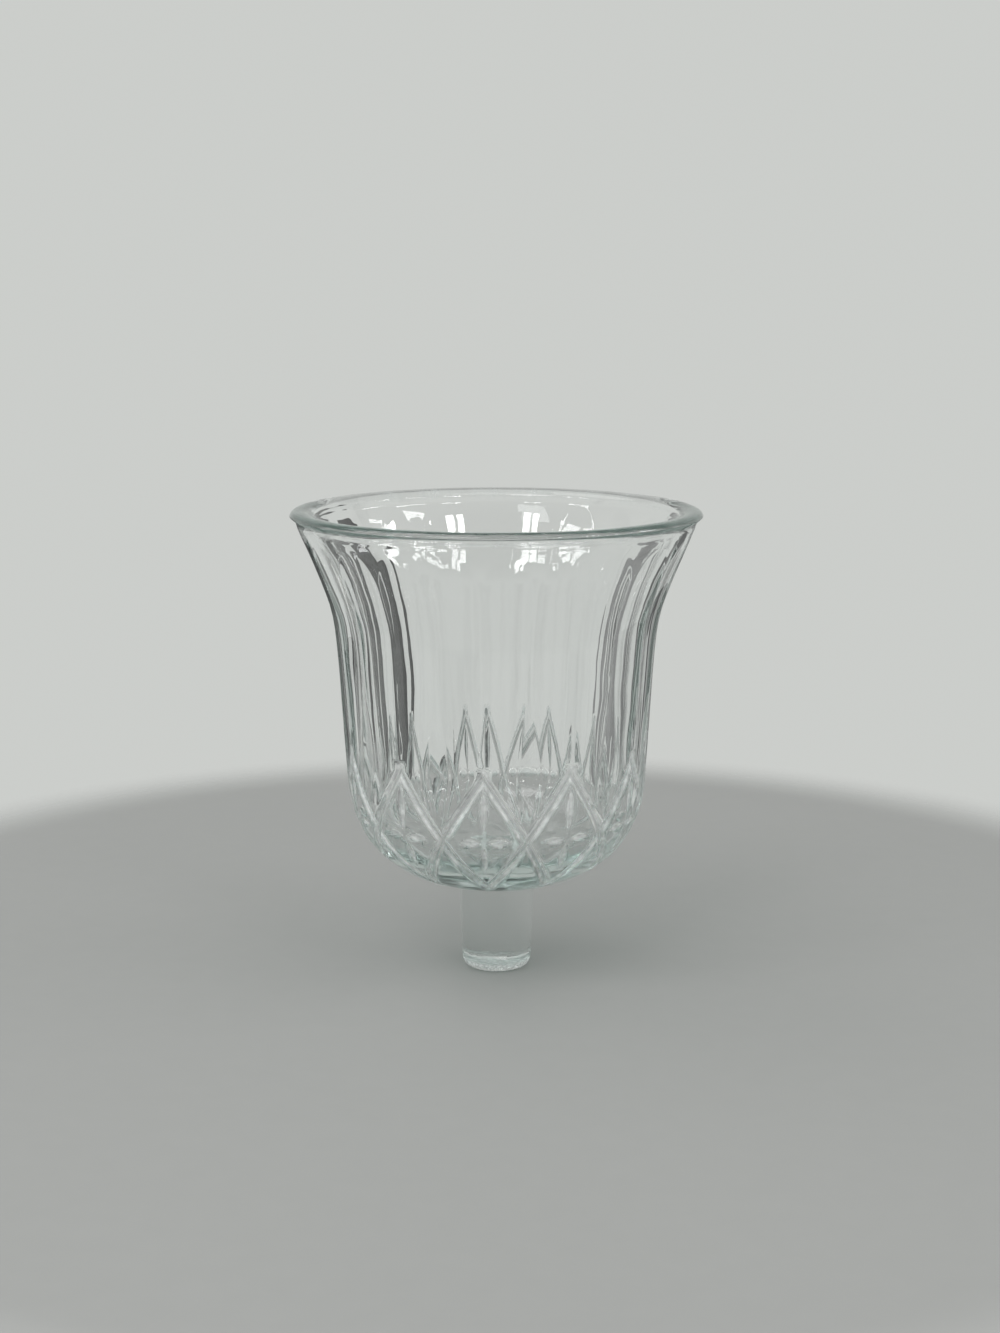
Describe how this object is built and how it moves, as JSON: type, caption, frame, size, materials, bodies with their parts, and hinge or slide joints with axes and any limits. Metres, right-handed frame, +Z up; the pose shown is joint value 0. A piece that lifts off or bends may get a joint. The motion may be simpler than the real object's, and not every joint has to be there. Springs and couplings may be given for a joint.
{
  "type": "peg votive holder",
  "caption": "Clear pressed glass votive cup with a flared lip, upright flutes and a cut diamond band, on a solid tapered peg for a candlestick socket.",
  "frame": {"origin": "centre of the peg's flat foot, on the surface the holder stands on", "axes": "+Z up along the axis of the peg and cup, -Y to the front, where a peak of the zigzag faces"},
  "size_m": [0.0826, 0.0826, 0.0954],
  "materials": {
    "cup_glass": "clear fire-polished pressed glass",
    "peg_glass": "clear smooth glass"
  },
  "bodies": {
    "root": {"cup": "cup_glass", "peg": "peg_glass"}
  },
  "joints": []
}
